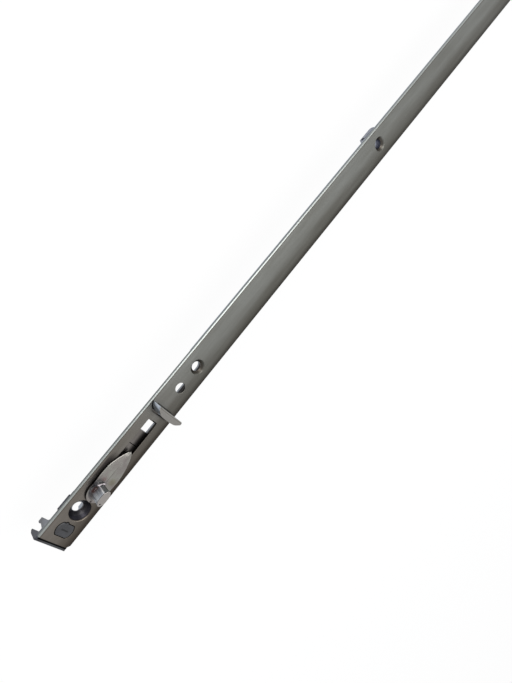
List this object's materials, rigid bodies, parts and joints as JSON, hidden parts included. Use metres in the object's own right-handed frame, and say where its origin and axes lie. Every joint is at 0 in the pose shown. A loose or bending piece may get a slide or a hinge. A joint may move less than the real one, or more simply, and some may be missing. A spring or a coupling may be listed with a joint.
{
  "type": "window espagnolette gearbox",
  "caption": "Window espagnolette: long slotted faceplate over a sliding drive rod, geared to a square-socket handle hub in a slim case, with oval locking cams, a lift lug and end claws.",
  "frame": {"origin": "middle of the faceplate's lower end, on its outer face", "axes": "+X up the faceplate from its lower end, +Z out of the sash rebate, Y across the faceplate and along the handle spindle"},
  "size_m": [1.2701, 0.016, 0.0361],
  "materials": {
    "satin_steel_strip": "satin, matt galvanised strip",
    "bright_zinc_steel": "bright zinc plating",
    "grey_zinc_casting": "matt cast zinc, faint yellow passivation",
    "dark_nylon": "matt moulded nylon"
  },
  "bodies": {
    "forend": {"case_block_lower": "grey_zinc_casting", "case_block_upper": "grey_zinc_casting", "case_pillars": "bright_zinc_steel", "case_plate_left": "bright_zinc_steel", "case_plate_right": "bright_zinc_steel", "case_rivets": "bright_zinc_steel", "end_bracket_lower": "bright_zinc_steel", "end_bracket_upper": "bright_zinc_steel", "end_button_lower": "dark_nylon", "end_button_upper": "dark_nylon", "face_studs": "bright_zinc_steel", "faceplate": "satin_steel_strip", "guide_block_1": "grey_zinc_casting", "guide_block_2": "grey_zinc_casting", "guide_block_3": "grey_zinc_casting", "guide_block_4": "grey_zinc_casting", "guide_block_5": "grey_zinc_casting", "handle_sleeve_lower": "bright_zinc_steel", "handle_sleeve_upper": "bright_zinc_steel", "lift_lug": "grey_zinc_casting"},
    "rod": {"cam_shoe": "grey_zinc_casting", "coupling_rail_lower": "bright_zinc_steel", "coupling_rail_upper": "bright_zinc_steel", "drive_rod": "bright_zinc_steel", "mid_shoe": "grey_zinc_casting", "rail_rivets": "bright_zinc_steel", "rod_tail": "bright_zinc_steel", "shoe_rivets": "bright_zinc_steel"},
    "hub": {"spindle_hub": "grey_zinc_casting"},
    "lower_cam": {"lock_cam": "bright_zinc_steel"},
    "middle_cam": {"mid_cam": "bright_zinc_steel"}
  },
  "joints": [
    {"name": "rod_slide", "type": "slide", "parent": "forend", "child": "rod", "axis": [1, 0, 0], "range_m": [0, 0.018]},
    {"name": "handle_turn", "type": "hinge", "parent": "forend", "child": "hub", "pos_m": [0.6, 0, -0.015], "axis": [0, 1, 0], "range_deg": [0, 90]},
    {"name": "lower_cam_adjust", "type": "hinge", "parent": "rod", "child": "lower_cam", "pos_m": [0.0263, 0.0001, 0], "axis": [0, 0, 1], "range_deg": [-90, 90]},
    {"name": "middle_cam_adjust", "type": "hinge", "parent": "rod", "child": "middle_cam", "pos_m": [0.8793, 0.0001, 0], "axis": [0, 0, 1], "range_deg": [-90, 90]}
  ],
  "couplings": [
    {"joint": "handle_turn", "follows": "rod_slide", "rad_per_m": 87.266}
  ]
}
